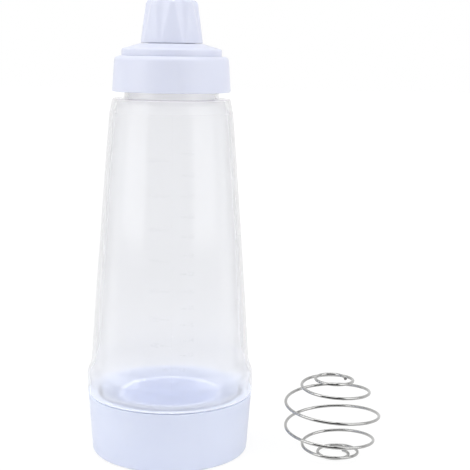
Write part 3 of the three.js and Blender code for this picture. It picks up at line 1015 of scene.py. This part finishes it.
def parting_lines():
    """The fine ridges that the mould leaves up the bottle's front and back."""
    section = (-SEAM_HALF_WIDTH, -SEAM_SUNK), (0, SEAM_PROUD), (SEAM_HALF_WIDTH, -SEAM_SUNK)
    count = len(section)
    points, faces = [], []
    rows = [z for _, z in bottle_outside]
    for way in (1, -1):
        begin = len(points)
        for z in rows:
            for across, out in section:
                x, y, height = on_wall(across, z, out)
                points.append((x * way, y * way, height))
        for k in range(len(rows) - 1):
            low, high = begin + count * k, begin + count * (k + 1)
            for a in range(count):
                b = (a + 1) % count
                faces.append((low + a, low + b, high + b, high + a))
        faces.append(tuple(reversed(range(begin, begin + count))))
        faces.append(tuple(range(len(points) - count, len(points))))
    return placed("parting_lines", mesh_of("parting_lines", points, faces))


finished(scale_bars(), raised_clear, "bottle", "clear_plastic")
finished(scale_figures(), raised_clear, "bottle", "clear_plastic")
finished(parting_lines(), seam_clear, "bottle", "clear_plastic")


# Collar, spout dome and lid seal


def lid_seal_ring():
    top = lid_seal_bottom + LID_SEAL_THICK
    made = turned("lid_seal_ring", rounded([
        (neck_bore_r, lid_seal_bottom, EASED_EDGE),
        (finish_r, lid_seal_bottom, EASED_EDGE),
        (finish_r, top, EASED_EDGE),
        (neck_bore_r, top, EASED_EDGE),
    ], closed=True), closed=True)
    smooth(made.data)
    return made


def dome_and_spout():
    seat_r = CAP_R + SEAT
    inner_r = dome_r - DOME_WALL
    outline = rounded([
        (inner_r, flange_bottom, CRISP_EDGE),
        (flange_r, flange_bottom, CRISP_EDGE),
        (flange_r, flange_top, CRISP_EDGE),
        (dome_r, flange_top, HAIR_EDGE),
        (dome_r, dome_edge_top, DOME_EDGE),
        (seat_r, dome_top, SOFT_EDGE),
        (spout_r, dome_top, EASED_EDGE),
        (spout_r, root_top, EASED_EDGE),
        (nozzle_foot_r, root_top + SPOUT_THREAD, NOSE_EDGE),
        (nozzle_tip_r, nozzle_tip, SOFT_EDGE),
        (SPOUT_BORE_R, nozzle_tip, SOFT_EDGE),
        (SPOUT_BORE_R, dome_top - DOME_WALL, ROUND_EDGE),
        (seat_r, dome_top - DOME_WALL, BROKEN_EDGE),
        (inner_r, dome_edge_top - DOME_WALL, ROUND_EDGE),
    ], closed=True)
    outline = divided(outline, True, THREAD_ROW, dome_top, root_top)
    made = turned("dome_and_spout", outline, closed=True)
    return threaded(made, spout_r, SPOUT_THREAD, (dome_top, root_top), SPOUT_THREAD_ENDS, lavender)


def clamp_collar():
    lip_r = dome_r + SEAT
    side_height = collar_top - COLLAR_EDGE - collar_bottom
    top_corner_r = COLLAR_TOP_R - COLLAR_TAPER * COLLAR_EDGE / side_height
    outline = rounded([
        (collar_bore_r, collar_bottom, CRISP_EDGE),
        (collar_bottom_r, collar_bottom, COLLAR_FOOT_EDGE),
        (top_corner_r, collar_top, COLLAR_EDGE),
        (lip_r, collar_top, FINE_EDGE),
        (lip_r, lip_bottom, CRISP_EDGE),
        (collar_bore_r, lip_bottom, EASED_EDGE),
    ], closed=True)
    outline = divided(outline, True, NUT_THREAD_ROW, collar_bottom, flange_bottom)
    made = turned("clamp_collar", outline, closed=True)
    wall = collar_bottom, neck_top
    return threaded(made, collar_bore_r, -NECK_THREAD, wall, COLLAR_THREAD_ENDS, lavender, NUT_PHASE)


finished(lid_seal_ring(), silicone, "spout", "silicone", "lid_seal")
finished(dome_and_spout(), lavender, "spout", "lavender_plastic", "spout_dome")
finished(clamp_collar(), lavender, "collar", "lavender_plastic", "lid_collar")


# Fluted cap and its plug


def stopper_plug():
    pin_r = SPOUT_BORE_R - SEAT
    made = turned("stopper_plug", rounded([
        (0, plug_bottom - PLUG_PIN_LENGTH, 0),
        (pin_r, plug_bottom - PLUG_PIN_LENGTH, NOSE_EDGE),
        (pin_r, plug_bottom, BROKEN_EDGE),
        (cap_cavity_r - SEAT, plug_bottom, EASED_EDGE),
        (cap_cavity_r - SEAT, cap_ceiling - SEAT, EASED_EDGE),
        (0, cap_ceiling - SEAT, 0),
    ], closed=False), closed=False)
    smooth(made.data)
    return made


def fluted_cap():
    outline = rounded([
        (0, cap_ceiling, 0),
        (cap_cavity_r, cap_ceiling, SOFT_EDGE),
        (cap_cavity_r, cap_thread_top + CAP_WALL, BROKEN_EDGE),
        (cap_bore_r, cap_thread_top, EASED_EDGE),
        (cap_bore_r, cap_bottom, FINE_EDGE),
        (CAP_R, cap_bottom, CAP_FOOT_EDGE),
        (cap_outer_r(cap_top - CAP_CROWN), cap_top - CAP_CROWN, CAP_EDGE),
        (0, cap_top, 0),
    ], closed=False)
    outline = divided(outline, False, FLUTE_ROW, cap_bottom, math.inf)
    made = turned("fluted_cap", outline, closed=False, segments=CAP_SEGMENTS)
    wall = cap_bottom, cap_thread_top
    threaded(made, cap_bore_r, -SPOUT_THREAD, wall, CAP_THREAD_ENDS, lavender, NUT_PHASE)
    made.data.materials.clear()
    tip = cap_bottom + FLUTE_TIP_HEIGHT
    return shaped(made, cap_flute_tree(), {
        "Tip height": tip * MM,
        "Top height": cap_top * MM,
        "Tip centre": (cap_outer_r(tip) + FLUTE_TIP_ROUND) * MM,
        "Top centre": (cap_top_r - FLUTE_DEPTH + FLUTE_TOP_ROUND) * MM,
        "Tip round": FLUTE_TIP_ROUND * MM,
        "Top round": FLUTE_TOP_ROUND * MM,
        "Edge": FLUTE_EDGE * MM,
        "Count": float(FLUTE_COUNT),
        "First turn": (FRONT_DEG + FLUTE_TURN_DEG) / 360,
        "Finish": lavender,
    })


finished(stopper_plug(), silicone, "plug", "silicone", "cap_plug")
finished(fluted_cap(), lavender, "cap", "lavender_plastic", "nozzle_cap")


# Whisk ball


def whisk_wire():
    seed = placed("whisk_wire", bpy.data.meshes.new("whisk_wire"))
    return shaped(seed, whisk_wire_tree(), {
        "Ball radius": WHISK_R * MM,
        "Half height": WHISK_HALF_HEIGHT * MM,
        "Foot shift": WHISK_FOOT_SHIFT * MM,
        "Wire radius": WIRE_R * MM,
        "Centre x": whisk_x * MM,
        "Centre y": whisk_y * MM,
        "End latitude": math.radians(WHISK_END_LATITUDE_DEG),
        "Turns": WHISK_TURNS,
        "Start": math.radians(WHISK_START_DEG),
        "Steps": WIRE_STEPS,
        "Sides": WIRE_SIDES,
        "Finish": steel,
    })


finished(whisk_wire(), steel, "whisk", "steel_wire", "whisk_ball")


# Camera: a long lens at the photograph's height and tilt
CAMERA_PLACE = (0.0382, -0.660, 0.241)
CAMERA_DOWN_DEG = 9.41
CAMERA_ROLL_DEG = 0.8
LENS_MM = 85.94
SENSOR_MM = 36

view = bpy.data.cameras.new("camera")
view.lens = LENS_MM
view.sensor_width = SENSOR_MM
camera = placed("camera", view)
camera.location = CAMERA_PLACE
tilt = Euler((math.radians(90 - CAMERA_DOWN_DEG), 0, 0)).to_matrix()
roll = Euler((0, 0, math.radians(CAMERA_ROLL_DEG))).to_matrix()
camera.rotation_euler = (tilt @ roll).to_euler()
bpy.context.scene.camera = camera


# Studio, in metres and watts: a white room and floor, and four soft lights
ROOM_LEVEL = 0.475
ROOM_LEAN = 0.15  # how much less light comes from the camera's side, and more from behind
MIRROR_FRONT, MIRROR_BACK = 0.02, 1.0  # the room in reflections, on the camera's side and behind
MIRROR_FROM, MIRROR_TO = -0.4, 0.4
BACKDROP_THROUGH = 0.875  # the white behind the clear wall
FLOOR_HALF_WIDTH = 6
FLOOR_DROP = 0.0002
FLOOR_TINTS = (0.90, 0.90, 0.90), (0.92, 0.92, 0.92)
FLOOR_GRAIN = 3, 2
FLOOR_ROUGH = 0.9
FLOOR_GLOW = 1.06
FLOOR_FRONT = 0.05  # the floor's front in reflections
FLOOR_FRONT_FROM, FLOOR_FRONT_TO = -0.13, -0.04
FLOOR_SHADOW_SHARE = 0.2
SHADOW_FROM, SHADOW_TO = 0.3, 0.8

SIDE_LIGHT_BEARING_DEG = 62
SIDE_LIGHT_AWAY = 0.9
SIDE_LIGHT_WIDTH = 0.7
SIDE_LIGHT_HEIGHT = 1.84
SIDE_LIGHT_MIDDLE = 1.01
LEFT_WATTS, RIGHT_WATTS = 9.4, 8.8
TOP_LIGHT_WIDTH = 0.9
TOP_LIGHT_PLACE = (0, -0.1, 1.7)
TOP_WATTS = 6.5
INNER_LIGHT_WIDTH = 0.03
INNER_LIGHT_PLACE = (0, 0, 0.115)
INNER_LIGHT_SPREAD_DEG = 110
INNER_WATTS = 0.0185


def behind_the_wall(tree, path):
    """1 where a straight look has passed through the clear wall."""
    return reckon(tree, "GREATER_THAN", path["Transparent Depth"], 0.5)


def white_room():
    """A white room whose camera side is darker in reflections."""
    world = bpy.data.worlds.new("white_room")
    world.use_nodes = True
    tree = world.node_tree
    tree.nodes.clear()
    path = tree.nodes.new("ShaderNodeLightPath").outputs
    _, y, _ = place_parts(tree, "Generated")
    looked_at = path["Is Camera Ray"]
    not_scattered = reckon(tree, "LESS_THAN", path["Diffuse Depth"], 0.5)
    through = reckon(tree, "MULTIPLY", path["Is Transmission Ray"], not_scattered)
    lost = reckon(tree, "MULTIPLY", behind_the_wall(tree, path), 1 - BACKDROP_THROUGH)
    straight = reckon(tree, "MULTIPLY", looked_at, reckon(tree, "SUBTRACT", 1.0, lost))
    shown = reckon(tree, "MAXIMUM", straight, reckon(tree, "MULTIPLY", through, BACKDROP_THROUGH))
    dim, bright = ROOM_LEVEL * (1 - ROOM_LEAN), ROOM_LEVEL * (1 + ROOM_LEAN)
    light = ease(tree, y, -1.0, 1.0, dim, bright, "LINEAR")
    mirrored = ease(tree, y, MIRROR_FROM, MIRROR_TO, MIRROR_FRONT, MIRROR_BACK)
    glossy = path["Is Glossy Ray"]
    reflected = reckon(tree, "MULTIPLY", glossy, mirrored)
    shed = reckon(tree, "MULTIPLY", reckon(tree, "SUBTRACT", 1.0, glossy), light)
    unseen = reckon(tree, "SUBTRACT", 1.0, reckon(tree, "MAXIMUM", looked_at, through))
    carried = reckon(tree, "MULTIPLY", reckon(tree, "ADD", reflected, shed), unseen)
    back = tree.nodes.new("ShaderNodeBackground")
    back.inputs["Color"].default_value = (1, 1, 1, 1)
    tree.links.new(reckon(tree, "ADD", shown, carried), back.inputs["Strength"])
    leave = tree.nodes.new("ShaderNodeOutputWorld")
    tree.links.new(back.outputs[0], leave.inputs[0])
    bpy.context.scene.world = world


def white_floor():
    """A pale floor that shows white, keeps a share of the object's shadow, and is darker
    on the camera's side in reflections."""
    half, low = FLOOR_HALF_WIDTH / MM, -FLOOR_DROP / MM
    corners = [(-half, -half, low), (half, -half, low), (half, half, low), (-half, half, low)]
    mesh = mesh_of("floor", corners, [(0, 1, 2, 3)])
    floor = placed("floor", mesh)
    finish, tree, shader = new_finish("white_floor")
    tinted(tree, shader, grain(tree, *FLOOR_GRAIN), *FLOOR_TINTS)
    shader.inputs["Roughness"].default_value = FLOOR_ROUGH
    shader.inputs["Specular IOR Level"].default_value = 0.0
    path = tree.nodes.new("ShaderNodeLightPath").outputs
    x, y, _ = place_parts(tree)
    through, glossy = path["Is Transmission Ray"], path["Is Glossy Ray"]
    behind = reckon(tree, "MAXIMUM", behind_the_wall(tree, path), through)
    lost_behind = reckon(tree, "MULTIPLY", behind, FLOOR_GLOW - BACKDROP_THROUGH)
    only_glossy = reckon(tree, "LESS_THAN", through, glossy)
    front = ease(tree, y, FLOOR_FRONT_FROM, FLOOR_FRONT_TO, FLOOR_GLOW - FLOOR_FRONT, 0.0)
    lost = reckon(tree, "MAXIMUM", lost_behind, reckon(tree, "MULTIPLY", only_glossy, front))
    white = tree.nodes.new("ShaderNodeEmission")
    tree.links.new(reckon(tree, "SUBTRACT", FLOOR_GLOW, lost), white.inputs["Strength"])
    seen = reckon(tree, "MAXIMUM", path["Is Camera Ray"], reckon(tree, "MAXIMUM", through, glossy))
    away = hypotenuse(tree, x, y)
    share = ease(tree, away, SHADOW_FROM, SHADOW_TO, 1 - FLOOR_SHADOW_SHARE, 1.0)
    mix = tree.nodes.new("ShaderNodeMixShader")
    tree.links.new(reckon(tree, "MULTIPLY", seen, share), mix.inputs[0])
    tree.links.new(shader.outputs[0], mix.inputs[1])
    tree.links.new(white.outputs[0], mix.inputs[2])
    tree.links.new(mix.outputs[0], tree.nodes["Material Output"].inputs[0])
    mesh.materials.append(finish)


def lamp_at(name, place, width, watts):
    """A soft light that faces down. Gives its lamp and its stand."""
    lamp = bpy.data.lights.new(name, "AREA")
    lamp.size = width
    lamp.energy = watts
    stand = placed(name, lamp)
    stand.location = place
    stand.visible_camera = False
    return lamp, stand


def side_light(name, bearing_deg, watts):
    """A tall soft light that faces the bottle, at a bearing from the camera's side."""
    turn = math.radians(FRONT_DEG + bearing_deg)
    toward = Vector((math.cos(turn), math.sin(turn), 0))
    place = toward * SIDE_LIGHT_AWAY + Vector((0, 0, SIDE_LIGHT_MIDDLE))
    lamp, stand = lamp_at(name, place, SIDE_LIGHT_WIDTH, watts)
    lamp.shape = "RECTANGLE"
    lamp.size_y = SIDE_LIGHT_HEIGHT
    stand.rotation_euler = (-toward).to_track_quat("-Z", "Y").to_euler()


def inner_light():
    """A small soft light inside the bottle, for the light that its haze scatters downwards."""
    lamp, stand = lamp_at("inner_soft_light", INNER_LIGHT_PLACE, INNER_LIGHT_WIDTH, INNER_WATTS)
    lamp.shape = "DISK"
    lamp.spread = math.radians(INNER_LIGHT_SPREAD_DEG)
    stand.visible_transmission = False
    stand.visible_glossy = False


white_room()
white_floor()
side_light("left_soft_light", -SIDE_LIGHT_BEARING_DEG, LEFT_WATTS)
side_light("right_soft_light", SIDE_LIGHT_BEARING_DEG, RIGHT_WATTS)
lamp_at("top_soft_light", TOP_LIGHT_PLACE, TOP_LIGHT_WIDTH, TOP_WATTS)
inner_light()

bpy.context.scene.view_settings.view_transform = "Standard"
